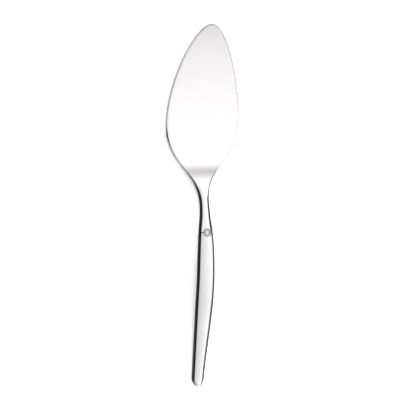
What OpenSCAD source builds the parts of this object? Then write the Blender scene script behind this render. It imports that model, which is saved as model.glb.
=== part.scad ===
// Cake server with a leaf-shaped blade, a cranked neck and a hollow handle of two shells.
// +Y runs along the server to the blade's tip, +X across it and +Z up.
// The origin lies midway along the length, on the surface that the server rests on.

/* [Blade] */
// Length of the blade from its heel to the tip
blade_length = 101; // [86:1:120]
// Greatest width of the blade
blade_width = 57.8; // [44:0.1:76]
// Distance of the greatest width from the tip
blade_widest_from_tip = 66; // [58:0.5:78]
// Thickness of the blade where it leaves the heel
blade_thickness = 1.5; // [1.1:0.1:2.2]
// Thickness of the blade at its tip
tip_thickness = 1.2; // [0.8:0.1:1.5]
// Width over which the rim of the blade is rounded off
rim_width = 1.2; // [0.8:0.1:2]
// Flat length of the blade's underside in front of the heel
flat_length = 10; // [10:1:26]
// Height to which the tip sweeps up
tip_lift = 11.2; // [5:0.1:16]
// How far the outline runs straight across at the tip
tip_fullness = 13.5; // [8:0.5:16]
// How far the outline runs straight from the greatest width towards the tip
side_fullness = 24; // [20:1:42]
// How far the outline runs straight from the greatest width towards the neck
shoulder_fullness = 32.5; // [22:0.5:38]

/* [Neck] */
// Length of the neck from the handle's seam to the blade's heel
neck_length = 42.5; // [36:0.5:54]
// Width of the neck at its waist
neck_width = 6.8; // [5:0.1:9]
// Thickness of the neck at its waist
neck_thickness = 4; // [3:0.1:4.5]
// Distance of the waist from the handle's seam
waist_from_seam = 20; // [16:0.5:26]
// How far the outline runs straight from the waist towards the blade
waist_reach_front = 24.5; // [16:0.5:30]
// How far the outline runs straight from the waist towards the handle
waist_reach_back = 17; // [10:1:24]
// How far the blade's plane carries on behind the heel before the neck bends up
crank_reach = 7; // [4:1:12]
// Length over which the blade thins in front of the heel
heel_taper = 8; // [4:1:12]

/* [Handle] */
// Length of the handle from its end to the seam
handle_length = 106.5; // [94:0.5:126]
// Greatest width of the handle
handle_width = 13.2; // [10:0.1:18]
// Greatest thickness of the handle
handle_thickness = 4.4; // [3.4:0.1:6]
// Distance of the greatest width from the handle's end
handle_widest_from_end = 64; // [54:1:74]
// Width to which the handle narrows at its end
end_width = 8.5; // [6.5:0.1:10.5]
// Thickness of the handle at its end
end_thickness = 4.2; // [3:0.1:5]
// Length of the rounded end in plan
end_rounding = 5.5; // [4:0.5:12]
// Length of the rounded end in side view
end_edge = 6; // [4:0.5:9]
// How far the parting line turns up at the end, in half thicknesses
end_upturn = 1.3; // [0:0.1:1.5]
// Distance of the arch's top from the handle's end
arch_from_end = 77; // [68:1:86]
// Height of the handle's underside at the top of the arch
arch_height = 8.5; // [5:0.1:13]
// How far the arch runs straight from its top towards the blade
arch_reach_front = 48; // [36:1:56]
// How far the arch runs straight from its top towards the handle's end
arch_reach_back = 21.5; // [14:0.5:30]
// How far the handle rises straight from its end
end_reach = 16; // [10:1:24]
// Angle at which the handle rises from its end
end_angle = 2.5; // [1:0.1:6]
// How far the outline runs straight from the greatest width towards the neck
flank_reach_front = 52.5; // [36:0.5:58]
// How far the outline runs straight from the greatest width towards the end
flank_reach_back = 15.5; // [8:0.5:28]
// How far the outline runs straight from the end
end_straight = 15.5; // [8:0.5:24]
// Thickness of the shells
shell_wall = 0.6; // [0.4:0.05:0.75]
// Power of the rounded section: 2 is an ellipse, more is squarer
section_power = 4; // [3:0.1:5]
// Share of the half-width over which the section is rounded
section_rounding = 0.85; // [0.7:0.01:0.92]

/* [Tang] */
// Length of the tang inside the handle
tang_length = 60; // [44:1:76]
// Width of the tang
tang_width = 4.5; // [3:0.1:6]
// Thickness of the tang
tang_thickness = 1.4; // [1:0.1:1.7]
// Gap between the filler and the metal round it
bond_gap = 0.05; // [0.02:0.01:0.08]

/* [Medallion] */
// Diameter of the medallion set across the seam
medallion_diameter = 6; // [4.8:0.1:7]
// Depth of the medallion's seat
seat_depth = 0.35; // [0.25:0.05:0.4]
// Height of the medallion's ring above the handle
ring_rise = 0.25; // [0.1:0.05:0.4]
// Width of the medallion's ring
ring_width = 0.8; // [0.5:0.1:1.2]
// Height of the ring above the medallion's plain face
ring_step = 0.2; // [0.1:0.05:0.3]
// Radial gap between the medallion and its seat
seat_gap = 0.03; // [0.01:0.01:0.08]

/* [Hidden] */

// Stations along the server
overall_length = handle_length + neck_length + blade_length;
end_y = -overall_length / 2;
seam_y = end_y + handle_length;
heel_y = seam_y + neck_length;
tip_y = heel_y + blade_length;
handle_widest_y = end_y + handle_widest_from_end;
arch_y = end_y + arch_from_end;
waist_y = seam_y + waist_from_seam;
taper_y = heel_y + heel_taper;
bend_y = heel_y + flat_length;
blade_widest_y = tip_y - blade_widest_from_tip;

// Fineness of the lofted surfaces
rim_steps = 5;
crown_steps = 2;
handle_rows = 30;
neck_rows = 8;
heel_rows = 12;
flat_rows = 6;
widest_rows = 7;
blade_rows = 18;
tip_rows = 8;
tip_zone = 6;
end_rows = 8;
tang_rows = 6;
round_facets = 64;

// Powers of the rounded ends in plan and of the blade's rim
end_power = 1.8;
blade_power = 2;

// Halvings in the search for a place on a curve
search_steps = 30;

// Plan outline: half-widths along Y, as curves that join smoothly at their ends
plan_handle = [
    [end_y, end_width / 2],
    [end_y + end_straight, end_width / 2],
    [handle_widest_y - flank_reach_back, handle_width / 2],
    [handle_widest_y, handle_width / 2]
];
plan_throat = [
    [handle_widest_y, handle_width / 2],
    [handle_widest_y + flank_reach_front, handle_width / 2],
    [waist_y - waist_reach_back, neck_width / 2],
    [waist_y, neck_width / 2]
];
plan_shoulder = [
    [waist_y, neck_width / 2],
    [waist_y + waist_reach_front, neck_width / 2],
    [blade_widest_y - shoulder_fullness, blade_width / 2],
    [blade_widest_y, blade_width / 2]
];
plan_tip = [
    [blade_widest_y, blade_width / 2],
    [blade_widest_y + side_fullness, blade_width / 2],
    [tip_y, tip_fullness],
    [tip_y, 0]
];

// Side view: heights of the underside along Y
side_handle = [
    [end_y, 0],
    [end_y + end_reach, end_reach * tan(end_angle)],
    [arch_y - arch_reach_back, arch_height],
    [arch_y, arch_height]
];
side_neck = [
    [arch_y, arch_height],
    [arch_y + arch_reach_front, arch_height],
    [heel_y - crank_reach, 0],
    [heel_y, 0]
];

// Point of a cubic curve at t
function bezier(p, t) =
    pow(1 - t, 3) * p[0]
    + 3 * pow(1 - t, 2) * t * p[1]
    + 3 * (1 - t) * pow(t, 2) * p[2]
    + pow(t, 3) * p[3];

// Place on a curve that runs along +Y at which it reaches y
function reach(p, y, low = 0, high = 1, steps = search_steps) =
    let (middle = (low + high) / 2)
    steps == 0 ? middle
    : bezier(p, middle)[0] < y ? reach(p, y, middle, high, steps - 1)
    : reach(p, y, low, middle, steps - 1);

// Second coordinate of a curve at y
function curve_at(p, y) = bezier(p, reach(p, y))[1];

// Smooth step from a at y0 to b at y1
function ease(y, y0, y1, a, b) =
    let (t = min(1, max(0, (y - y0) / (y1 - y0))))
    a + (b - a) * t * t * (3 - 2 * t);

// Share of the full size at a distance from a rounded end
function rounded(distance, length) =
    let (t = min(1, max(0, distance / length)))
    pow(1 - pow(1 - t, end_power), 1 / end_power);

// Half-width of the plan outline, before the handle's end is rounded
function outline(y) =
    y < handle_widest_y ? curve_at(plan_handle, y)
    : y < waist_y ? curve_at(plan_throat, y)
    : y < blade_widest_y ? curve_at(plan_shoulder, y)
    : curve_at(plan_tip, y);

// Height of the underside
function underside(y) =
    y < arch_y ? curve_at(side_handle, y)
    : y < heel_y ? curve_at(side_neck, y)
    : y < bend_y ? 0
    : tip_lift * pow((y - bend_y) / (tip_y - bend_y), 2);

// Thickness, before the ends are rounded
function thickness(y) =
    y < arch_y ? ease(y, end_y, arch_y, end_thickness, handle_thickness)
    : y < waist_y ? ease(y, arch_y, waist_y, handle_thickness, neck_thickness)
    : y < taper_y ? ease(y, waist_y, taper_y, neck_thickness, blade_thickness)
    : ease(y, taper_y, tip_y, blade_thickness, tip_thickness);

// Height of the middle surface, on which the handle's shells part and which turns up at the end
function middle(y) =
    let (lift = end_upturn * (1 - rounded(y - end_y, end_edge)))
    underside(y) + thickness(y) / 2 * (1 + lift);

// Width over which a section of half-width w is rounded off
function rounding(y, w) = min(section_rounding * w, ease(y, waist_y, heel_y, w, rim_width));

// Power of the section's rounding
function power(y) = ease(y, waist_y, taper_y, section_power, blade_power);

// Upper half of a section as [x, height], from the right parting point over to the left
function half_section(w, t, rim, p) =
    let (side = [
        for (i = [0 : rim_steps])
        let (a = 90 * i / rim_steps)
        [w - rim * (1 - pow(cos(a), 2 / p)), t / 2 * pow(sin(a), 2 / p)]
    ])
    concat(
        side,
        [for (i = [1 : crown_steps - 1]) [(w - rim) * (1 - 2 * i / crown_steps), t / 2]],
        [for (i = [rim_steps : -1 : 0]) [-side[i][0], side[i][1]]]
    );

// Whole section as [x, height], from the right parting point round over the top
function whole_section(half) =
    concat(half, [for (i = [len(half) - 2 : -1 : 1]) [half[i][0], -half[i][1]]]);

// Section set up at y, on the middle surface
function placed(section, y, up = 1) = [for (p = section) [p[0], y, middle(y) + up * p[1]]];

// Half section of the handle, drawn in on all sides by inset
function handle_half(y, inset) =
    let (w = (outline(y) - inset) * rounded(y - end_y - inset, end_rounding))
    let (t = (thickness(y) - 2 * inset) * rounded(y - end_y - inset, end_edge))
    half_section(w, t, section_rounding * w, section_power);

// Half section of the neck and the blade
function blade_half(y) =
    let (w = outline(y))
    let (t = thickness(y) * rounded(tip_y - y, rim_width))
    half_section(w, t, rounding(y, w), power(y));

// Half section of the tang, with an all-round gap for its slot
function tang_half(gap) =
    let (w = tang_width / 2 + gap)
    let (t = tang_thickness + 2 * gap)
    half_section(w, t, t / 2, blade_power);

// Stations from y0 to y1, evenly spaced, without the first
function rows(y0, y1, count) = [for (i = [1 : count]) y0 + (y1 - y0) * i / count];

// Stations from a rounded end at y0 to y1, drawn together at the rounded end and without it
function rows_from_end(y0, y1, count) = [for (i = [1 : count]) y0 + (y1 - y0) * pow(i / count, 2)];

// Stations of a handle surface that is drawn in by inset
function handle_stations(inset) =
    let (start = end_y + inset)
    concat(
        rows_from_end(start, start + end_rounding, end_rows),
        rows(start + end_rounding, seam_y, handle_rows)
    );

// Faces between neighbouring rows of points, with the rows in order of Y
function skin(first, row_count, size, closed) = [
    for (r = [0 : row_count - 2], c = [0 : closed ? size - 1 : size - 2])
    let (a = first + r * size + c)
    let (b = first + r * size + (c + 1) % size)
    each [[a, b, b + size], [a, b + size, a + size]]
];

// Fan from one row of points to a single point at the start of the rows
function fan(first, size, closed, apex) =
    [for (c = [0 : closed ? size - 1 : size - 2]) [first + (c + 1) % size, first + c, apex]];

// Band between two chains of points
function band(outer, inner) = [
    for (i = [0 : len(outer) - 2])
    each [[outer[i], outer[i + 1], inner[i + 1]], [outer[i], inner[i + 1], inner[i]]]
];

// The same faces seen from the other side
function flipped(faces) = [for (f = faces) [f[2], f[1], f[0]]];

// Numbers of the points in a chain, and of those in a closed row
function numbers(first, step, count) = [for (i = [0 : count - 1]) first + i * step];
function ring_numbers(first, size) = concat(numbers(first, 1, size), [first]);

// Solid lofted through closed rows, with a single point beyond each end
module loft(sections, start, finish) {
    size = len(sections[0]);
    count = len(sections) * size;
    polyhedron(
        concat([for (s = sections) each s], [start, finish]),
        concat(
            skin(0, len(sections), size, true),
            fan(0, size, true, count),
            flipped(fan(count - size, size, true, count + 1))
        )
    );
}

// One half of the handle's skin, above (up = 1) or below (up = -1) the parting surface
module half_shell(up) {
    outer = [for (y = handle_stations(0)) placed(handle_half(y, 0), y, up)];
    inner = [for (y = handle_stations(shell_wall)) placed(handle_half(y, shell_wall), y, up)];
    size = len(outer[0]);
    count = len(outer);
    bore = count * size;
    outer_end = 2 * bore;
    inner_end = outer_end + 1;
    right = band(
        concat([outer_end], numbers(0, size, count)),
        concat([inner_end], numbers(bore, size, count))
    );
    left = band(
        concat([outer_end], numbers(size - 1, size, count)),
        concat([inner_end], numbers(bore + size - 1, size, count))
    );
    front = band(numbers(bore - size, 1, size), numbers(2 * bore - size, 1, size));
    faces = concat(
        skin(0, count, size, false),
        fan(0, size, false, outer_end),
        flipped(skin(bore, count, size, false)),
        flipped(fan(bore, size, false, inner_end)),
        right,
        flipped(left),
        front
    );
    inner_y = end_y + shell_wall;
    polyhedron(
        concat(
            [for (s = outer) each s],
            [for (s = inner) each s],
            [[0, end_y, middle(end_y)], [0, inner_y, middle(inner_y)]]
        ),
        up > 0 ? faces : flipped(faces)
    );
}

// Place of the medallion: centre of the seat's floor, lying along the handle's top
module at_medallion() {
    radius = medallion_diameter / 2;
    top_back = underside(seam_y - radius) + thickness(seam_y - radius);
    top_front = underside(seam_y + radius) + thickness(seam_y + radius);
    slope = atan2(top_front - top_back, 2 * radius);
    translate([0, seam_y, (top_back + top_front) / 2])
        rotate([slope, 0, 0])
            translate([0, 0, -seat_depth])
                children();
}

// Round seat that the medallion is pressed into
module medallion_seat() {
    radius = medallion_diameter / 2 + seat_gap;
    at_medallion()
        cylinder(r = radius, h = seat_depth + handle_thickness, $fn = round_facets);
}

// Blade, cranked neck and tang, forged in one
module blade() {
    tang_end_y = seam_y - tang_length;
    tang_section = whole_section(tang_half(0));
    tang = [
        for (y = concat([tang_end_y], rows(tang_end_y, seam_y, tang_rows)))
        placed(tang_section, y)
    ];
    stations = concat(
        [seam_y],
        rows(seam_y, waist_y, neck_rows),
        rows(waist_y, heel_y, heel_rows),
        rows(heel_y, bend_y, flat_rows),
        rows(bend_y, blade_widest_y, widest_rows),
        rows(blade_widest_y, tip_y - tip_zone, blade_rows),
        [for (i = [1 : tip_rows - 1]) tip_y - tip_zone * pow(1 - i / tip_rows, 2)]
    );
    form = [for (y = stations) placed(whole_section(blade_half(y)), y)];
    color("silver")
        difference() {
            loft(concat(tang, form), [0, tang_end_y, middle(tang_end_y)], [0, tip_y, middle(tip_y)]);
            medallion_seat();
        }
}

// Upper half of the handle's skin
module handle_upper_shell() {
    color("gainsboro")
        difference() {
            half_shell(1);
            medallion_seat();
        }
}

// Lower half of the handle's skin
module handle_lower_shell() {
    color("lightgray")
        half_shell(-1);
}

// Hard filler that bonds the tang into the shells
module handle_filler() {
    inset = shell_wall + bond_gap;
    slot_end_y = seam_y - tang_length - bond_gap;
    core = [for (y = handle_stations(inset)) placed(whole_section(handle_half(y, inset)), y)];
    slot_section = whole_section(tang_half(bond_gap));
    slot = [
        for (y = concat([slot_end_y], rows(slot_end_y, seam_y, tang_rows)))
        placed(slot_section, y)
    ];
    size = len(slot_section);
    bore = len(core) * size;
    count = bore + len(slot) * size;
    core_y = end_y + inset;
    color("dimgray")
        polyhedron(
            concat(
                [for (s = core) each s],
                [for (s = slot) each s],
                [[0, core_y, middle(core_y)], [0, slot_end_y, middle(slot_end_y)]]
            ),
            concat(
                skin(0, len(core), size, true),
                fan(0, size, true, count),
                flipped(skin(bore, len(slot), size, true)),
                flipped(fan(bore, size, true, count + 1)),
                band(ring_numbers(bore - size, size), ring_numbers(count - size, size))
            )
        );
}

// Plain disc with a raised ring round it
module medallion() {
    radius = medallion_diameter / 2;
    top = seat_depth + ring_rise;
    color("darkgray")
        at_medallion()
            rotate_extrude($fn = round_facets)
                polygon([
                    [0, 0],
                    [radius, 0],
                    [radius, top],
                    [radius - ring_width, top],
                    [radius - ring_width, top - ring_step],
                    [0, top - ring_step]
                ]);
}

blade();
handle_upper_shell();
handle_lower_shell();
handle_filler();
medallion();
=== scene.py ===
import math

import bpy
from mathutils import Matrix, Vector


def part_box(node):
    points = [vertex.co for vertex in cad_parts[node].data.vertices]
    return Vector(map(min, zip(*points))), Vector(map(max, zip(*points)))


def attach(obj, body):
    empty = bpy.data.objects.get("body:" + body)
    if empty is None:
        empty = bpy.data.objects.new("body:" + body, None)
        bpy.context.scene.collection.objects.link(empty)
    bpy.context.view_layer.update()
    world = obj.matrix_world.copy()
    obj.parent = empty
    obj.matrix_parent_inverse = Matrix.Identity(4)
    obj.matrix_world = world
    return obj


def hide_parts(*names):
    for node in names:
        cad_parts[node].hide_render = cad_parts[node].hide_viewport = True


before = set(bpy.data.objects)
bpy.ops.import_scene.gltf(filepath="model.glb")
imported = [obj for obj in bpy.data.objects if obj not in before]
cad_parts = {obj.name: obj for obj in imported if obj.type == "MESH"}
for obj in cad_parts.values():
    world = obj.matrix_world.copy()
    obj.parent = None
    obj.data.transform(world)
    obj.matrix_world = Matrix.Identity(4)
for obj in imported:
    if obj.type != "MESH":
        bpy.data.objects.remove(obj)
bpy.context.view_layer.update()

# Cake server: mirror-polished steel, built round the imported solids.
# +Y runs along the server to the blade's tip, +X across it and +Z up, in metres.

MM = 0.001

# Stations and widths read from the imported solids
blade_low, blade_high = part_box("blade")
shell_low, shell_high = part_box("handle_upper_shell")
_, disc_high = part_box("medallion")
END_Y = shell_low.y
SEAM_Y = shell_high.y
TIP_Y = blade_high.y
TANG_END_Y = blade_low.y
BLADE_HALF = blade_high.x
HANDLE_HALF = shell_high.x
DISC_RADIUS = disc_high.x

# Stations that follow from them
HANDLE_WIDEST_Y = END_Y + 64 * MM
ARCH_Y = END_Y + 77 * MM
WAIST_Y = SEAM_Y + 20 * MM
HEEL_Y = SEAM_Y + 42.5 * MM
TAPER_Y = HEEL_Y + 8 * MM
BEND_Y = HEEL_Y + 10 * MM
BLADE_WIDEST_Y = TIP_Y - 66 * MM

# Half-widths, heights and thicknesses; the handle is a hair thinner, to stay in its faceted solid
END_HALF = 4.25 * MM
NECK_HALF = 3.4 * MM
TIP_FULLNESS = 13.5 * MM
ARCH_HEIGHT = 8.5 * MM
TIP_LIFT = 11.2 * MM
END_SLOPE = math.tan(math.radians(2.5))
END_THICKNESS = 4.2 * MM
HANDLE_THICKNESS = 4.395 * MM
NECK_THICKNESS = 4 * MM
BLADE_THICKNESS = 1.5 * MM
TIP_THICKNESS = 1.2 * MM
SHELL_WALL = 0.6 * MM
TANG_HALF = 2.25 * MM
TANG_THICKNESS = 1.4 * MM

# How far the curves of the plan and of the side hold their direction from each station
END_STRAIGHT = 15.5 * MM
FLANK_BACK = 15.5 * MM
FLANK_FRONT = 52.5 * MM
WAIST_BACK = 17 * MM
WAIST_FRONT = 24.5 * MM
SHOULDER_FULLNESS = 32.5 * MM
SIDE_FULLNESS = 24 * MM
END_REACH = 16 * MM
ARCH_BACK = 21.5 * MM
ARCH_FRONT = 48 * MM
CRANK_REACH = 7 * MM

# How the sections and ends are rounded
RIM_WIDTH = 1.2 * MM
TIP_RIM = 2.2 * MM
END_ROUNDING = 5.5 * MM
END_EDGE = 6 * MM
END_UPTURN = 1.3
END_POWER = 1.8
HANDLE_POWER = 4
BLADE_POWER = 1.5
HANDLE_SHARE = 0.85
CROWN = 0.08

# Depths of the fine lines between the pieces; where the handle is narrow, the parting line is
# only as deep as the half-width divided by PARTING_PARTS
SEAM_GROOVE = 0.3 * MM
PARTING_GROOVE = 0.06 * MM
PARTING_PARTS = 10

# Medallion: its depth in the seat, and the heights and radii of its ring and bare face
DISC_DEPTH = 0.35 * MM
FOOT_RISE = 0.04 * MM
RING_RISE = 0.25 * MM
RING_OUTER = DISC_RADIUS - 0.22 * MM
RING_INNER = DISC_RADIUS - 0.8 * MM
FACE_RADIUS = DISC_RADIUS - 1.1 * MM
FACE_EDGE = 0.96
FACE_RISE = 0.1 * MM
FACE_DOME = 0.08 * MM

# Fineness of the surfaces: sections, stations along the blade and the shells, and the medallion
SEARCH_STEPS = 40
RIM_STEPS = 18
CROWN_STEPS = 16
TANG_STEPS = 12
NECK_STEPS = 40
CRANK_STEPS = 60
FLAT_STEPS = 36
SWEEP_STEPS = 24
LEAF_STEPS = 80
TIP_STEPS = 36
TIP_ZONE = 6 * MM
END_STEPS = 40
GRIP_STEPS = 110
RING_STEPS = 12
FACE_STEPS = 9
DISC_FACETS = 96
SHARP_ANGLE = math.radians(32)

# Plan outline as (y, half-width) and underside as (y, height), in curves that join smoothly
PLAN_HANDLE = (
    (END_Y, END_HALF),
    (END_Y + END_STRAIGHT, END_HALF),
    (HANDLE_WIDEST_Y - FLANK_BACK, HANDLE_HALF),
    (HANDLE_WIDEST_Y, HANDLE_HALF),
)
PLAN_THROAT = (
    (HANDLE_WIDEST_Y, HANDLE_HALF),
    (HANDLE_WIDEST_Y + FLANK_FRONT, HANDLE_HALF),
    (WAIST_Y - WAIST_BACK, NECK_HALF),
    (WAIST_Y, NECK_HALF),
)
PLAN_SHOULDER = (
    (WAIST_Y, NECK_HALF),
    (WAIST_Y + WAIST_FRONT, NECK_HALF),
    (BLADE_WIDEST_Y - SHOULDER_FULLNESS, BLADE_HALF),
    (BLADE_WIDEST_Y, BLADE_HALF),
)
PLAN_TIP = (
    (BLADE_WIDEST_Y, BLADE_HALF),
    (BLADE_WIDEST_Y + SIDE_FULLNESS, BLADE_HALF),
    (TIP_Y, TIP_FULLNESS),
    (TIP_Y, 0.0),
)
SIDE_HANDLE = (
    (END_Y, 0.0),
    (END_Y + END_REACH, END_REACH * END_SLOPE),
    (ARCH_Y - ARCH_BACK, ARCH_HEIGHT),
    (ARCH_Y, ARCH_HEIGHT),
)
SIDE_NECK = (
    (ARCH_Y, ARCH_HEIGHT),
    (ARCH_Y + ARCH_FRONT, ARCH_HEIGHT),
    (HEEL_Y - CRANK_REACH, 0.0),
    (HEEL_Y, 0.0),
)


# Form

def bezier(points, t):
    """Point of a cubic curve at t."""
    weights = ((1 - t) ** 3, 3 * (1 - t) ** 2 * t, 3 * (1 - t) * t * t, t ** 3)
    return tuple(sum(w * p[axis] for w, p in zip(weights, points)) for axis in (0, 1))


def curve_at(points, y):
    """Second coordinate of a curve that runs along +Y, at y."""
    low, high = 0.0, 1.0
    for _ in range(SEARCH_STEPS):
        middle_t = (low + high) / 2
        if bezier(points, middle_t)[0] < y:
            low = middle_t
        else:
            high = middle_t
    return bezier(points, (low + high) / 2)[1]


def smooth(t):
    """Smooth step from 0 to 1."""
    t = min(1.0, max(0.0, t))
    return t * t * (3 - 2 * t)


def ease(y, y0, y1, a, b):
    """Smooth step from a at y0 to b at y1."""
    return a + (b - a) * smooth((y - y0) / (y1 - y0))


def rounded(distance, length):
    """Share of the full size at a distance from a rounded end."""
    t = min(1.0, max(0.0, distance / length))
    return (1 - (1 - t) ** END_POWER) ** (1 / END_POWER)


def outline(y):
    """Half-width in plan, before the handle's end is rounded."""
    if y < HANDLE_WIDEST_Y:
        return curve_at(PLAN_HANDLE, y)
    if y < WAIST_Y:
        return curve_at(PLAN_THROAT, y)
    if y < BLADE_WIDEST_Y:
        return curve_at(PLAN_SHOULDER, y)
    return curve_at(PLAN_TIP, y)


def underside(y):
    """Height of the underside."""
    if y < ARCH_Y:
        return curve_at(SIDE_HANDLE, y)
    if y < HEEL_Y:
        return curve_at(SIDE_NECK, y)
    if y < BEND_Y:
        return 0.0
    return TIP_LIFT * ((y - BEND_Y) / (TIP_Y - BEND_Y)) ** 2


def thickness(y):
    """Thickness, before the ends are rounded."""
    if y < ARCH_Y:
        return ease(y, END_Y, ARCH_Y, END_THICKNESS, HANDLE_THICKNESS)
    if y < WAIST_Y:
        return ease(y, ARCH_Y, WAIST_Y, HANDLE_THICKNESS, NECK_THICKNESS)
    if y < TAPER_Y:
        return ease(y, WAIST_Y, TAPER_Y, NECK_THICKNESS, BLADE_THICKNESS)
    return ease(y, TAPER_Y, TIP_Y, BLADE_THICKNESS, TIP_THICKNESS)


def middle(y):
    """Height of the middle surface, on which the handle's shells part; it turns up at the end."""
    lift = END_UPTURN * thickness(y) / 2 * (1 - rounded(y - END_Y, END_EDGE))
    return underside(y) + thickness(y) / 2 + lift


def half_section(w, t, rim, power, crown):
    """Upper half of a section as (x, height), from the right parting point over to the left."""
    right = []
    for i in range(RIM_STEPS + 1):
        angle = smooth(i / RIM_STEPS) * math.pi / 2
        x = w - rim * (1 - max(0.0, math.cos(angle)) ** (2 / power))
        right.append((x, t / 2 * math.sin(angle) ** (2 / power)))
    flat = w - rim
    across = [(flat * (1 - 2 * i / CROWN_STEPS), t / 2) for i in range(1, CROWN_STEPS)]
    left = [(-x, h) for x, h in reversed(right)]
    return [(x, h * (1 - crown * (x / w) ** 2)) for x, h in right + across + left]


def handle_half(y, inset=0.0):
    """Half section of the handle, drawn in on all sides by inset."""
    w = (outline(y) - inset) * rounded(y - END_Y - inset, END_ROUNDING)
    t = (thickness(y) - 2 * inset) * rounded(y - END_Y - inset, END_EDGE)
    half = half_section(w, t, HANDLE_SHARE * w, HANDLE_POWER, CROWN)
    line = w - min(PARTING_GROOVE, w / PARTING_PARTS)
    return [(line, 0.0)] + half[1:-1] + [(-line, 0.0)]


def blade_half(y, inset=0.0):
    """Half section of the neck and the blade, drawn in on all sides by inset."""
    w = outline(y) - inset
    t = (thickness(y) - 2 * inset) * rounded(TIP_Y - y, TIP_RIM)
    rim = ease(y, WAIST_Y, HEEL_Y, w, RIM_WIDTH)
    if y > BLADE_WIDEST_Y:
        rim = ease(y, BLADE_WIDEST_Y, TIP_Y, RIM_WIDTH, TIP_RIM)
    rim = min(HANDLE_SHARE * w, rim)
    power = ease(y, WAIST_Y, TAPER_Y, HANDLE_POWER, BLADE_POWER)
    crown = ease(y, WAIST_Y, HEEL_Y, CROWN, 0.0)
    return half_section(w, t, rim, power, crown)


def whole(half):
    """Closed section from its upper half."""
    return half + [(x, -h) for x, h in reversed(half[1:-1])]


def placed(section, y, up=1):
    """Section set up at y, on the middle surface."""
    z = middle(y)
    return [(x, y, z + up * h) for x, h in section]


def steps(y0, y1, count):
    """Stations after y0 up to y1, evenly spaced."""
    return [y0 + (y1 - y0) * i / count for i in range(1, count + 1)]


def steps_from_end(y0, y1, count):
    """Stations after a rounded end at y0 up to y1, drawn together at the end."""
    return [y0 + (y1 - y0) * (i / count) ** 2 for i in range(1, count + 1)]


# Meshes

def band_faces(first, second):
    """Faces between two chains of vertex numbers of the same length."""
    pairs = zip(first, first[1:], second[1:], second)
    return [tuple(pair) for pair in pairs]


def fan_faces(chain, apex):
    """Faces between a chain of vertex numbers and one vertex."""
    return [(a, b, apex) for a, b in zip(chain, chain[1:])]


def ring(first, size):
    """Vertex numbers of a closed row, back to its first."""
    return [first + i for i in range(size)] + [first]


def turned(faces):
    """The same faces seen from the other side."""
    return [tuple(reversed(face)) for face in faces]


def make_piece(name, points, faces, material, node):
    """Smooth mesh piece that stands for a CAD node and rides on the only body."""
    mesh = bpy.data.meshes.new(name)
    mesh.from_pydata(points, [], faces)
    mesh.validate()
    mesh.shade_smooth()
    mesh.set_sharp_from_angle(angle=SHARP_ANGLE)
    mesh.materials.append(material)
    piece = bpy.data.objects.new(name, mesh)
    bpy.context.scene.collection.objects.link(piece)
    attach(piece, "root")
    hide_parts(node)


def make_blade(material):
    """Blade, neck and tang in one loft from the tang's end to the tip."""
    tang = whole(half_section(TANG_HALF, TANG_THICKNESS, TANG_THICKNESS / 2, BLADE_POWER, 0.0))
    rows = [placed(tang, y) for y in [TANG_END_Y] + steps(TANG_END_Y, SEAM_Y, TANG_STEPS)]
    rows.append(placed(whole(blade_half(SEAM_Y, SEAM_GROOVE)), SEAM_Y))
    stations = (
        [SEAM_Y + SEAM_GROOVE]
        + steps(SEAM_Y + SEAM_GROOVE, WAIST_Y, NECK_STEPS)
        + steps(WAIST_Y, HEEL_Y, CRANK_STEPS)
        + steps(HEEL_Y, BEND_Y, FLAT_STEPS)
        + steps(BEND_Y, BLADE_WIDEST_Y, SWEEP_STEPS)
        + steps(BLADE_WIDEST_Y, TIP_Y - TIP_ZONE, LEAF_STEPS)
        + [TIP_Y - TIP_ZONE * (1 - i / TIP_STEPS) ** 2 for i in range(1, TIP_STEPS)]
    )
    rows += [placed(whole(blade_half(y)), y) for y in stations]
    points = [point for row in rows for point in row]
    size = len(rows[0])
    start = len(points)
    points += [(0.0, TANG_END_Y, middle(TANG_END_Y)), (0.0, TIP_Y, middle(TIP_Y))]
    faces = []
    for i in range(len(rows) - 1):
        faces += band_faces(ring(i * size, size), ring((i + 1) * size, size))
    faces += turned(fan_faces(ring(0, size), start))
    faces += fan_faces(ring(start - size, size), start + 1)
    make_piece("blade_body", points, turned(faces), material, "blade")


def make_shell(name, node, up, material):
    """One half of the handle's skin, above (up = 1) or below (up = -1) the parting surface."""
    outer_y = steps_from_end(END_Y, END_Y + END_ROUNDING, END_STEPS)
    outer_y += steps(END_Y + END_ROUNDING, SEAM_Y - SEAM_GROOVE, GRIP_STEPS)
    outer = [placed(handle_half(y), y, up) for y in outer_y]
    outer.append(placed(blade_half(SEAM_Y, SEAM_GROOVE), SEAM_Y, up))
    bore_y = END_Y + SHELL_WALL
    inner_y = steps_from_end(bore_y, bore_y + END_ROUNDING, END_STEPS)
    inner_y += steps(bore_y + END_ROUNDING, SEAM_Y, GRIP_STEPS + 1)
    inner = [placed(handle_half(y, SHELL_WALL), y, up) for y in inner_y]
    points = [point for row in outer + inner for point in row]
    size = len(outer[0])
    count = len(outer)
    bore = count * size
    outer_end = len(points)
    points += [(0.0, END_Y, middle(END_Y)), (0.0, bore_y, middle(bore_y))]
    inner_end = outer_end + 1
    faces = []
    for i in range(count - 1):
        outer_rows = [[(i + k) * size + c for c in range(size)] for k in (0, 1)]
        inner_rows = [[bore + n for n in row] for row in outer_rows]
        faces += band_faces(*outer_rows)
        faces += turned(band_faces(*inner_rows))
    faces += turned(fan_faces(list(range(size)), outer_end))
    faces += fan_faces([bore + c for c in range(size)], inner_end)
    right = [outer_end] + [i * size for i in range(count)]
    left = [outer_end] + [i * size + size - 1 for i in range(count)]
    bore_right = [inner_end] + [bore + i * size for i in range(count)]
    bore_left = [inner_end] + [bore + i * size + size - 1 for i in range(count)]
    faces += band_faces(right, bore_right)
    faces += turned(band_faces(left, bore_left))
    front = [bore - size + c for c in range(size)]
    faces += band_faces(front, [bore + n for n in front])
    if up > 0:
        faces = turned(faces)
    make_piece(name, points, faces, material, node)


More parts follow.
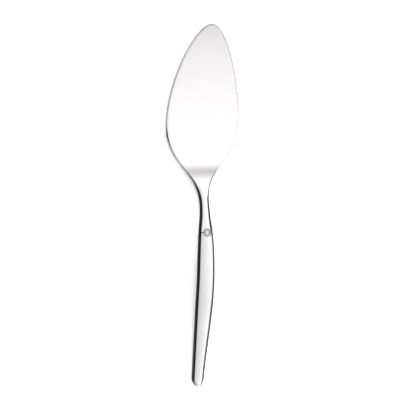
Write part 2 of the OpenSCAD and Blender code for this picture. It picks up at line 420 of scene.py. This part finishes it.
def medallion_place():
    """Place of the medallion: on the handle's top at the seam, along its slope."""
    back = underside(SEAM_Y - DISC_RADIUS) + thickness(SEAM_Y - DISC_RADIUS)
    front = underside(SEAM_Y + DISC_RADIUS) + thickness(SEAM_Y + DISC_RADIUS)
    slope = math.atan2(front - back, 2 * DISC_RADIUS)
    return Matrix.Translation((0, SEAM_Y, (front + back) / 2)) @ Matrix.Rotation(slope, 4, "X")


def medallion_profile():
    """Half profile of the medallion as (radius, height): foot, ring, channel and domed face."""
    profile = [(DISC_RADIUS, -DISC_DEPTH), (DISC_RADIUS, FOOT_RISE)]
    for i in range(RING_STEPS + 1):
        angle = math.pi * i / RING_STEPS
        x = (RING_OUTER + RING_INNER) / 2 + (RING_OUTER - RING_INNER) / 2 * math.cos(angle)
        profile.append((x, FOOT_RISE + (RING_RISE - FOOT_RISE) * math.sin(angle)))
    profile.append((FACE_RADIUS, FOOT_RISE))
    for i in range(FACE_STEPS):
        share = 1 - i / FACE_STEPS
        height = FACE_RISE + FACE_DOME * (1 - share * share)
        profile.append((FACE_RADIUS * FACE_EDGE * share, height))
    return profile


def make_medallion(material):
    """Plain disc with a rounded ring and a gently domed bare face, turned about its own axis."""
    profile = medallion_profile()
    place = medallion_place()
    points = []
    for radius, height in profile:
        for i in range(DISC_FACETS):
            angle = 2 * math.pi * i / DISC_FACETS
            x, y = radius * math.cos(angle), radius * math.sin(angle)
            points.append(place @ Vector((x, y, height)))
    apex = len(points)
    points += [place @ Vector((0, 0, FACE_RISE + FACE_DOME)), place @ Vector((0, 0, -DISC_DEPTH))]
    faces = []
    for i in range(len(profile) - 1):
        lower, upper = (ring((i + k) * DISC_FACETS, DISC_FACETS) for k in (0, 1))
        faces += band_faces(lower, upper)
    faces += fan_faces(ring(apex - DISC_FACETS, DISC_FACETS), apex)
    faces += turned(fan_faces(ring(0, DISC_FACETS), apex + 1))
    make_piece("medallion_disc", points, faces, material, "medallion")


# Shader nodes

# Sockets of a Mix node in its colour mode
MIX_A, MIX_B, MIX_RESULT = 6, 7, 2

GRAIN_ROUGHNESS = 0.6
WHITE = (1, 1, 1, 1)


def new_material(name):
    """Material and its node tree."""
    material = bpy.data.materials.new(name)
    material.use_nodes = True
    return material, material.node_tree


def add_node(tree, kind, **inputs):
    """Shader node with the given input values."""
    made = tree.nodes.new(kind)
    for name, value in inputs.items():
        made.inputs[name].default_value = value
    return made


def feed(tree, value, place):
    """Links a socket to an input, or sets the input to a plain value."""
    if isinstance(value, bpy.types.NodeSocket):
        tree.links.new(value, place)
    else:
        place.default_value = value


def coordinates(tree, kind):
    """Coordinates of a kind."""
    return tree.nodes.new("ShaderNodeTexCoord").outputs[kind]


def parts_of(tree, vector):
    """X, Y and Z of a vector."""
    parts = tree.nodes.new("ShaderNodeSeparateXYZ")
    tree.links.new(vector, parts.inputs[0])
    return parts.outputs


def combine(tree, operation, *values):
    """Result of a calculation with one or two values."""
    result = tree.nodes.new("ShaderNodeMath")
    result.operation = operation
    for value, place in zip(values, result.inputs):
        feed(tree, value, place)
    return result.outputs[0]


def mix_colours(tree, share, a, b, way="MIX"):
    """Two colours mixed by a share."""
    mix = tree.nodes.new("ShaderNodeMix")
    mix.data_type = "RGBA"
    mix.blend_type = way
    for value, place in ((share, 0), (a, MIX_A), (b, MIX_B)):
        feed(tree, value, mix.inputs[place])
    return mix.outputs[MIX_RESULT]


def grain(tree, place, scale, detail):
    """Noise stretched by a scale for each axis, in turns per metre."""
    mapping = add_node(tree, "ShaderNodeMapping", Scale=scale)
    noise = add_node(tree, "ShaderNodeTexNoise", Scale=1.0, Detail=detail,
                     Roughness=GRAIN_ROUGHNESS)
    tree.links.new(place, mapping.inputs["Vector"])
    tree.links.new(mapping.outputs["Vector"], noise.inputs["Vector"])
    return noise.outputs["Fac"]


def remap(tree, value, low, high, to_low, to_high, way="LINEAR"):
    """Value from one range to another, held at the ends."""
    mapped = tree.nodes.new("ShaderNodeMapRange")
    mapped.interpolation_type = way
    limits = {"From Min": low, "From Max": high, "To Min": to_low, "To Max": to_high}
    for place, number in limits.items():
        mapped.inputs[place].default_value = number
    tree.links.new(value, mapped.inputs["Value"])
    return mapped.outputs["Result"]


def ramp(tree, value, stops, low, high):
    """Grey levels by the share of a value between low and high."""
    colours = tree.nodes.new("ShaderNodeValToRGB")
    elements = colours.color_ramp.elements
    while len(elements) > 1:
        elements.remove(elements[-1])
    for i, (share, level) in enumerate(stops):
        element = elements[0] if i == 0 else elements.new(share)
        element.position = share
        element.color = (level, level, level, 1)
    tree.links.new(remap(tree, value, low, high, 0.0, 1.0), colours.inputs["Fac"])
    return colours.outputs["Color"]


def add_bump(tree, height, strength, depth):
    """Bumps the main shader's surface by a height."""
    bump = add_node(tree, "ShaderNodeBump", Strength=strength, Distance=depth)
    tree.links.new(height, bump.inputs["Height"])
    tree.links.new(bump.outputs["Normal"], tree.nodes["Principled BSDF"].inputs["Normal"])


def fade_out(tree, surface, share):
    """Shader that turns transparent by a share."""
    soft = tree.nodes.new("ShaderNodeMixShader")
    tree.links.new(share, soft.inputs["Fac"])
    tree.links.new(surface, soft.inputs[1])
    tree.links.new(tree.nodes.new("ShaderNodeBsdfTransparent").outputs[0], soft.inputs[2])
    return soft.outputs[0]


def set_surface(tree, surface):
    """Makes a shader the material's surface."""
    output = tree.nodes.new("ShaderNodeOutputMaterial")
    tree.links.new(surface, output.inputs["Surface"])


# Materials

# Steels: colour, least and greatest roughness, polishing lines in turns per metre and their depth
BLADE_STEEL = ((0.81, 0.795, 0.80), 0.08, 0.11, (5000, 60, 5000), 0.01 * MM)
HANDLE_STEEL = ((0.757, 0.757, 0.76), 0.06, 0.09, (6000, 50, 6000), 0.01 * MM)
MEDALLION_STEEL = ((0.74, 0.74, 0.745), 0.18, 0.28, (7000, 7000, 7000), 0.02 * MM)

# Polishing lines, smears and hairline scratches: grain in turns per metre, detail and strength
POLISH_DETAIL = 3.0
POLISH_BUMP = 0.06
SMEAR_GRAIN = (90, 60, 90)
SMEAR_DETAIL = 2.0
SMEAR_TONE = 0.96
SCRATCH_GRAIN = (700, 9000, 700)
SCRATCH_DETAIL = 0.0
SCRATCH_ROUGH = 0.06

# Roughness of rubbed edges, and where the noises and the edges' pointiness start and stop to show
EDGE_ROUGH = 0.05
EDGE_RANGE = (0.52, 0.62)
NOISE_RANGE = (0.3, 0.7)
SCRATCH_RANGE = (0.70, 0.74)


def make_steel(name, colour, smooth_rough, dull_rough, lines, depth):
    """Polished steel with polishing lines, hairline scratches, smears and rubbed edges."""
    material, tree = new_material(name)
    shader = tree.nodes["Principled BSDF"]
    shader.inputs["Metallic"].default_value = 1.0
    place = coordinates(tree, "Object")
    smear = grain(tree, place, SMEAR_GRAIN, SMEAR_DETAIL)
    scratch = grain(tree, place, SCRATCH_GRAIN, SCRATCH_DETAIL)
    pointiness = tree.nodes.new("ShaderNodeNewGeometry").outputs["Pointiness"]
    hairline = remap(tree, scratch, *SCRATCH_RANGE, 0.0, SCRATCH_ROUGH)
    edge = remap(tree, pointiness, *EDGE_RANGE, 0.0, EDGE_ROUGH)
    rough = remap(tree, smear, *NOISE_RANGE, smooth_rough, dull_rough)
    rough = combine(tree, "ADD", combine(tree, "ADD", rough, hairline), edge)
    tree.links.new(rough, shader.inputs["Roughness"])
    smeared = (*[level * SMEAR_TONE for level in colour], 1)
    tree.links.new(mix_colours(tree, smear, smeared, (*colour, 1)), shader.inputs["Base Color"])
    add_bump(tree, grain(tree, place, lines, POLISH_DETAIL), POLISH_BUMP, depth)
    return material


def tint(material, tone):
    """Multiplies the material's colour by a tone."""
    tree = material.node_tree
    base = tree.nodes["Principled BSDF"].inputs["Base Color"]
    tree.links.new(mix_colours(tree, 1.0, base.links[0].from_socket, tone, "MULTIPLY"), base)


def length_along(tree):
    """Place along the server."""
    return parts_of(tree, coordinates(tree, "Object"))["Y"]


def distance_from(tree, y):
    """Distance along the server from a station."""
    return combine(tree, "ABSOLUTE", combine(tree, "SUBTRACT", length_along(tree), y))


# Band across the heel, darkened with painted shade and duller in polish: its middle, half-width,
# shade and roughness
HEEL_BAND_Y = HEEL_Y - 1.6 * MM
HEEL_BAND_HALF = 6.5 * MM
HEEL_BAND_SHADE = 0.66
HEEL_BAND_ROUGH = 0.12


def dull_and_shade_heel(material):
    """Adds a band of painted shade across the heel to the blade's steel, with extra roughness."""
    tree = material.node_tree
    distance = distance_from(tree, HEEL_BAND_Y)
    # Painted shade: the band's colour is darkened towards its middle
    tint(material, remap(tree, distance, 0.0, HEEL_BAND_HALF, HEEL_BAND_SHADE, 1.0, "SMOOTHSTEP"))
    rough = tree.nodes["Principled BSDF"].inputs["Roughness"]
    extra = remap(tree, distance, 0.0, HEEL_BAND_HALF, HEEL_BAND_ROUGH, 0.0, "SMOOTHSTEP")
    tree.links.new(combine(tree, "ADD", rough.links[0].from_socket, extra), rough)


# Tone of the painted shade in the groove of the seam, and the distances from the seam over which it
# ends
SEAM_SHADE = 0.2
SEAM_SHADE_RANGE = (0.7 * SEAM_GROOVE, 1.15 * SEAM_GROOVE)


def shade_seam(material):
    """Darkens the steel in the groove of the seam with painted shade."""
    tree = material.node_tree
    # Painted shade: darker colour in the seam's groove
    tint(material, remap(tree, distance_from(tree, SEAM_Y), *SEAM_SHADE_RANGE, SEAM_SHADE, 1.0))


# Tone of the handle's steel by the share of its length: painted light and shade, lighter and darker
# along the handle
HANDLE_PAINTED_LIGHT = ((0.0, 0.95), (0.15, 0.97), (0.3, 1.0), (0.38, 1.0), (0.54, 0.885), (0.72, 0.9),
             (1.0, 0.935))


def paint_handle_light(material):
    """Paints light and shade into the handle's steel along its length."""
    tree = material.node_tree
    # Painted light and shade: the colour goes lighter and darker along the handle
    tint(material, ramp(tree, length_along(tree), HANDLE_PAINTED_LIGHT, END_Y, SEAM_Y))


# Tarnish and painted shade in the medallion's channel, and painted shade at its foot, by the share
# of the radius, and the shift in X that moves their middle to the right so the left gets more of
# the shade
TARNISH_AND_SHADE = ((0.0, 0.86), (0.58, 0.82), (0.62, 0.22), (0.71, 0.22), (0.75, 1.0), (0.91, 1.0),
           (0.94, 0.45), (1.0, 0.45))
SHADE_SHIFT = 0.12 * MM


def tarnish_and_shade_medallion(material):
    """Darkens the medallion's steel with tarnish and painted shade in its channel and with painted
    shade at its foot.
    """
    tree = material.node_tree
    middle_at = (-SHADE_SHIFT, -SEAM_Y, 0)
    flat = add_node(tree, "ShaderNodeMapping", Location=middle_at, Scale=(1, 1, 0))
    tree.links.new(coordinates(tree, "Object"), flat.inputs["Vector"])
    radius = tree.nodes.new("ShaderNodeVectorMath")
    radius.operation = "LENGTH"
    tree.links.new(flat.outputs["Vector"], radius.inputs[0])
    # Tarnish and painted shade: darker colour in the channel, and painted shade at the foot, more
    # on the left
    tint(material, ramp(tree, radius.outputs["Value"], TARNISH_AND_SHADE, 0.0, DISC_RADIUS))


# Resin: grit in turns per metre and its detail, dark and light colours, roughness and bumps
RESIN_GRIT = (2500, 2500, 2500)
RESIN_DETAIL = 4.0
RESIN_DARK = (0.10, 0.10, 0.105, 1)
RESIN_LIGHT = (0.19, 0.19, 0.185, 1)
RESIN_ROUGH = (0.55, 0.8)
RESIN_BUMP = 0.3
RESIN_DEPTH = 0.05 * MM


def make_resin():
    """Hard filler inside the handle: grey, grainy and dull."""
    material, tree = new_material("filler_resin")
    shader = tree.nodes["Principled BSDF"]
    grit = grain(tree, coordinates(tree, "Object"), RESIN_GRIT, RESIN_DETAIL)
    tree.links.new(mix_colours(tree, grit, RESIN_DARK, RESIN_LIGHT), shader.inputs["Base Color"])
    tree.links.new(remap(tree, grit, *NOISE_RANGE, *RESIN_ROUGH), shader.inputs["Roughness"])
    add_bump(tree, grit, RESIN_BUMP, RESIN_DEPTH)
    return material


# Stage: floor, studio light, cards, lamps and camera

PANEL_FACE = (0, 1, 2, 3)


def make_panel(name, corners, material):
    """Object with one four-cornered face."""
    mesh = bpy.data.meshes.new(name)
    mesh.from_pydata(corners, [], [PANEL_FACE])
    mesh.materials.append(material)
    panel = bpy.data.objects.new(name, mesh)
    bpy.context.scene.collection.objects.link(panel)
    return panel


FLOOR_COLOUR = (0.8, 0.8, 0.8, 1)
FLOOR_SIZE = 40

# Glow of the floor beside the server by the share of its length, which is weakest beside the heel
FLOOR_GLOW = ((0.0, 0.7), (0.2, 0.455), (0.31, 0.415), (0.39, 0.515), (0.48, 0.50), (0.54, 0.36),
              (0.59, 0.12), (0.68, 0.12), (0.76, 0.45), (1.0, 0.6))

# Glow further off, and the distances across over which it takes the place of the first
FAR_GLOW = (0.9, 0.9, 0.9, 1)
FAR_GLOW_RANGE = (60 * MM, 160 * MM)


def floor_glow(tree):
    """Glow of the floor: by the length beside the server and even further off."""
    place = parts_of(tree, coordinates(tree, "Object"))
    across = combine(tree, "ABSOLUTE", place["X"])
    far = remap(tree, across, *FAR_GLOW_RANGE, 0.0, 1.0, "SMOOTHSTEP")
    return mix_colours(tree, far, ramp(tree, place["Y"], FLOOR_GLOW, END_Y, TIP_Y), FAR_GLOW)


def make_floor():
    """Pale floor that glows to the camera and the steel, takes shadows and is open from below."""
    material, tree = new_material("floor_white")
    tree.nodes.clear()
    paths = tree.nodes.new("ShaderNodeLightPath").outputs
    seen = combine(tree, "MAXIMUM", paths["Is Camera Ray"], paths["Is Glossy Ray"])
    seen = combine(tree, "MAXIMUM", seen, paths["Is Transmission Ray"])
    white = tree.nodes.new("ShaderNodeEmission")
    tree.links.new(combine(tree, "MULTIPLY", seen, floor_glow(tree)), white.inputs["Strength"])
    pale = add_node(tree, "ShaderNodeBsdfDiffuse", Color=FLOOR_COLOUR)
    both = tree.nodes.new("ShaderNodeAddShader")
    tree.links.new(white.outputs[0], both.inputs[0])
    tree.links.new(pale.outputs[0], both.inputs[1])
    below = tree.nodes.new("ShaderNodeNewGeometry").outputs["Backfacing"]
    set_surface(tree, fade_out(tree, both.outputs[0], below))
    half = FLOOR_SIZE / 2
    corners = [(-half, -half, 0), (half, -half, 0), (half, half, 0), (-half, half, 0)]
    floor = make_panel("floor", corners, material)


# Brightness of the studio by the sideways and lengthways parts of a direction
SIDE_LIGHT = ((-1.0, 0.35), (-0.9, 0.03), (-0.75, 0.006), (-0.24, 0.006), (-0.11, 0.90),
              (0.12, 0.97), (0.36, 1.08), (0.455, 1.16), (0.5, 1.30), (0.545, 1.50), (0.7, 1.50),
              (0.82, 1.0), (1.0, 0.8))
LONG_LIGHT = ((-1.0, 0.40), (-0.6, 0.55), (-0.46, 0.68), (-0.405, 0.80), (-0.35, 0.86),
              (-0.3, 0.905), (-0.2, 0.97), (-0.1, 1.0), (0.55, 1.0), (0.62, 0.35), (0.7, 0.15),
              (1.0, 0.1))

# Where the dim left and front open up again, by the direction's other part, and to what level
SIDE_OPENS = (0.42, 0.58)
FRONT_OPENS = (0.0, 0.2)
OPEN_LEVEL = 0.75


def direction_light(tree, part, stops):
    """Brightness by a part of a direction, from -1 to 1."""
    shares = [((at + 1) / 2, level) for at, level in stops]
    return ramp(tree, part, shares, -1.0, 1.0)


def make_studio():
    """World light: softbox high on the right, dim on the left and in front; white to the camera."""
    world = bpy.data.worlds.new("studio")
    bpy.context.scene.world = world
    world.use_nodes = True
    tree = world.node_tree
    direction = parts_of(tree, coordinates(tree, "Generated"))
    x, y = direction["X"], direction["Y"]
    off_side = combine(tree, "ABSOLUTE", y)
    side_open = remap(tree, off_side, *SIDE_OPENS, 0.0, OPEN_LEVEL, "SMOOTHSTEP")
    front_open = remap(tree, x, *FRONT_OPENS, OPEN_LEVEL, 0.0, "SMOOTHSTEP")
    side = combine(tree, "MAXIMUM", direction_light(tree, x, SIDE_LIGHT), side_open)
    front = combine(tree, "MAXIMUM", direction_light(tree, y, LONG_LIGHT), front_open)
    camera_sees = tree.nodes.new("ShaderNodeLightPath").outputs["Is Camera Ray"]
    light = mix_colours(tree, camera_sees, combine(tree, "MULTIPLY", side, front), WHITE)
    tree.links.new(light, tree.nodes["Background"].inputs["Color"])


CARD_UV = ((0, 0), (1, 0), (1, 1), (0, 1))


def make_card(name, levels, corners, fades):
    """Card that only the steel sees, which runs from one grey to another and fades at its edges.

    The corners are the foot's start and finish and the top's finish and start. The fades are the
    shares of the card over which its start, finish, foot and top fade out.
    """
    material, tree = new_material(name)
    tree.nodes.clear()
    place = parts_of(tree, coordinates(tree, "UV"))
    along, up = place["X"], place["Y"]
    grey = tree.nodes.new("ShaderNodeEmission")
    tree.links.new(remap(tree, along, 0.0, 1.0, *levels, "SMOOTHSTEP"), grey.inputs["Color"])
    surface = grey.outputs[0]
    for value, edge, fade in zip((along, along, up, up), (0, 1, 0, 1), fades):
        if fade:
            inner = fade if edge == 0 else 1 - fade
            limits = (min(inner, edge), max(inner, edge))
            share = remap(tree, value, *limits, 1 - edge, edge, "SMOOTHSTEP")
            surface = fade_out(tree, surface, share)
    set_surface(tree, surface)
    card = make_panel(name, corners, material)
    spread = card.data.uv_layers.new(name="spread")
    for loop, uv in zip(spread.data, CARD_UV):
        loop.uv = uv
    card.visible_camera = False
    card.visible_diffuse = False
    card.visible_shadow = False


# Dark cards that the handle's edges reflect: (x, height) of the lying ones' edges, and all fades
CARD_CLEARANCE = 0.05 * MM
CARD_INNER = (0.0, CARD_CLEARANCE)
CARD_OUTER = (45 * MM, CARD_CLEARANCE)
CARD_FADES = (0.1, 0.08, 0.0, 0.0)

# Each card's name, side, grey levels, foot, top, and the y of its start and its finish
HANDLE_CARDS = (
    ("card_left_lying", -1, (0.095, 0.04), CARD_INNER, CARD_OUTER,
     END_Y - 32 * MM, WAIST_Y + 20 * MM),
    ("card_left_standing", -1, (0.006, 0.006), CARD_OUTER, (48 * MM, 24 * MM),
     END_Y - 32 * MM, HEEL_Y + 7 * MM),
    ("card_right_lying", 1, (0.14, 0.14), CARD_INNER, CARD_OUTER,
     END_Y - 37 * MM, WAIST_Y + 7 * MM),
    ("card_right_standing", 1, (0.14, 0.14), CARD_OUTER, (65 * MM, 70 * MM),
     END_Y - 37 * MM, WAIST_Y - 5 * MM),
)


def make_handle_cards():
    """Dark cards along both sides of the handle."""
    for name, side, levels, (foot_x, foot_z), (top_x, top_z), start, finish in HANDLE_CARDS:
        corners = ((side * foot_x, start, foot_z), (side * foot_x, finish, foot_z),
                   (side * top_x, finish, top_z), (side * top_x, start, top_z))
        make_card(name, levels, corners, CARD_FADES)


# Dark flag at the right front, which the neck's right edge reflects: how far off it hangs, the
# directions of its corners, its grey levels and its fades
FLAG_DISTANCE = 0.5
FLAG_CORNERS = ((0.58, 0.03, 0.84), (0.56, 0.35, 0.78), (0.91, 0.35, 0.25), (1.0, 0.03, 0.15))
FLAG_LEVELS = (0.02, 0.02)
FLAG_FADES = (0.1, 0.1, 0.1, 0.1)


def make_flag():
    """Dark flag at the right front."""
    corners = [Vector(corner) * FLAG_DISTANCE for corner in FLAG_CORNERS]
    make_card("flag", FLAG_LEVELS, corners, FLAG_FADES)


# Grey tent round the blade's tip, which its rim reflects: x of its side walls' foot and top
TENT_LEFT = (-50 * MM, -33 * MM)
TENT_RIGHT = (58 * MM, 54 * MM)

# y of the front wall's foot, and (y, height) at which the right wall's top bends
TENT_END_Y = TIP_Y + 25 * MM
TENT_TURN = (TIP_Y - 50 * MM, 60 * MM)

# Its front wall: (y, height) of the foot and the top, grey levels from left to right, and fades
TENT_FRONT = ((TENT_END_Y, 0.0), (TIP_Y - 35 * MM, 84 * MM))
TENT_FRONT_LEVELS = (0.52, 0.66)
TENT_FRONT_FADES = (0.0, 0.0, 0.0, 0.35)

# Its side walls: name, grey levels, x of the foot and top, (y, height) of the top's ends, and fades
TENT_SIDES = (
    ("tent_left", (0.55, 0.27), TENT_LEFT,
     (BLADE_WIDEST_Y - 20 * MM, 120 * MM), (TENT_END_Y, 120 * MM), (0.08, 0.0, 0.0, 0.35)),
    ("tent_right", (0.92, 0.88), TENT_RIGHT,
     (HEEL_Y + 4 * MM, 36 * MM), TENT_TURN, (0.1, 0.0, 0.0, 0.25)),
    ("tent_right_front", (0.88, 0.66), TENT_RIGHT,
     TENT_TURN, (TENT_END_Y, 115 * MM), (0.0, 0.0, 0.0, 0.25)),
)


def make_tent():
    """Leaning grey walls at the left, right and front of the tip."""
    for name, levels, (foot_x, top_x), start, finish, fades in TENT_SIDES:
        corners = ((foot_x, start[0], 0.0), (foot_x, finish[0], 0.0),
                   (top_x, *finish), (top_x, *start))
        make_card(name, levels, corners, fades)
    foot, top = TENT_FRONT
    left, right = TENT_LEFT[0], TENT_RIGHT[0]
    corners = ((left, *foot), (right, *foot), (right, *top), (left, *top))
    make_card("tent_front", TENT_FRONT_LEVELS, corners, TENT_FRONT_FADES)


# Lamps: name, place, size and power in watts
LAMPS = (
    ("lamp_left", (-0.22, 0.12, 0.6), 0.17, 2.0),
    ("lamp_right", (0.3, 0.42, 0.28), 0.25, 1.6),
)


def make_lamps():
    """Soft lamps aimed at the middle of the server, which its steel doesn't mirror."""
    for name, place, size, power in LAMPS:
        data = bpy.data.lights.new(name, "AREA")
        data.shape = "SQUARE"
        data.size = size
        data.energy = power
        lamp = bpy.data.objects.new(name, data)
        bpy.context.scene.collection.objects.link(lamp)
        lamp.location = place
        lamp.rotation_euler = Vector(place).to_track_quat("Z", "Y").to_euler()
        lamp.visible_glossy = False


# Where the photograph's camera stood, and the handle's end in its 400 x 400 frame
CAMERA_ROLL = math.radians(30)
CAMERA_PITCH = math.radians(4)
CAMERA_LEAN = math.radians(1.2)
CAMERA_DISTANCE = 10.0
CAMERA_DEPTH = 0.014
IMAGE_SIZE = 400
PIXELS_PER_METRE = 1459.4
END_PIXEL = (195.60, 386.33)
SENSOR = 36


def make_camera():
    """Long lens at the photograph's angle: rolled over to the left and a little towards the tip."""
    side = Vector((math.cos(CAMERA_ROLL), 0, math.sin(CAMERA_ROLL)))
    over = Vector((-math.sin(CAMERA_ROLL), 0, math.cos(CAMERA_ROLL)))
    along = Vector((0, 1, 0))
    back = over * math.cos(CAMERA_PITCH) + along * math.sin(CAMERA_PITCH)
    level_up = along * math.cos(CAMERA_PITCH) - over * math.sin(CAMERA_PITCH)
    right = side * math.cos(CAMERA_LEAN) + level_up * math.sin(CAMERA_LEAN)
    up = level_up * math.cos(CAMERA_LEAN) - side * math.sin(CAMERA_LEAN)
    to_right = (IMAGE_SIZE / 2 - END_PIXEL[0]) / PIXELS_PER_METRE
    to_top = (END_PIXEL[1] - IMAGE_SIZE / 2) / PIXELS_PER_METRE
    target = Vector((0, END_Y, 0)) + right * to_right + up * to_top
    data = bpy.data.cameras.new("camera")
    data.sensor_width = SENSOR
    data.lens = SENSOR * CAMERA_DISTANCE * PIXELS_PER_METRE / IMAGE_SIZE
    camera = bpy.data.objects.new("camera", data)
    bpy.context.scene.collection.objects.link(camera)
    axes = Matrix((right, up, back)).transposed()
    stand = target + back * (CAMERA_DISTANCE + CAMERA_DEPTH)
    camera.matrix_world = Matrix.Translation(stand) @ axes.to_4x4()
    bpy.context.scene.camera = camera


make_camera()
blade_steel = make_steel("blade_steel", *BLADE_STEEL)
dull_and_shade_heel(blade_steel)
shade_seam(blade_steel)
handle_steel = make_steel("handle_steel", *HANDLE_STEEL)
paint_handle_light(handle_steel)
shade_seam(handle_steel)
medallion_steel = make_steel("medallion_steel", *MEDALLION_STEEL)
tarnish_and_shade_medallion(medallion_steel)
make_blade(blade_steel)
make_shell("handle_upper", "handle_upper_shell", 1, handle_steel)
make_shell("handle_lower", "handle_lower_shell", -1, handle_steel)
make_medallion(medallion_steel)
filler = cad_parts["handle_filler"]
filler.data.materials.clear()
filler.data.materials.append(make_resin())
make_floor()
make_studio()
make_handle_cards()
make_flag()
make_tent()
make_lamps()
bpy.context.scene.view_settings.view_transform = "Standard"
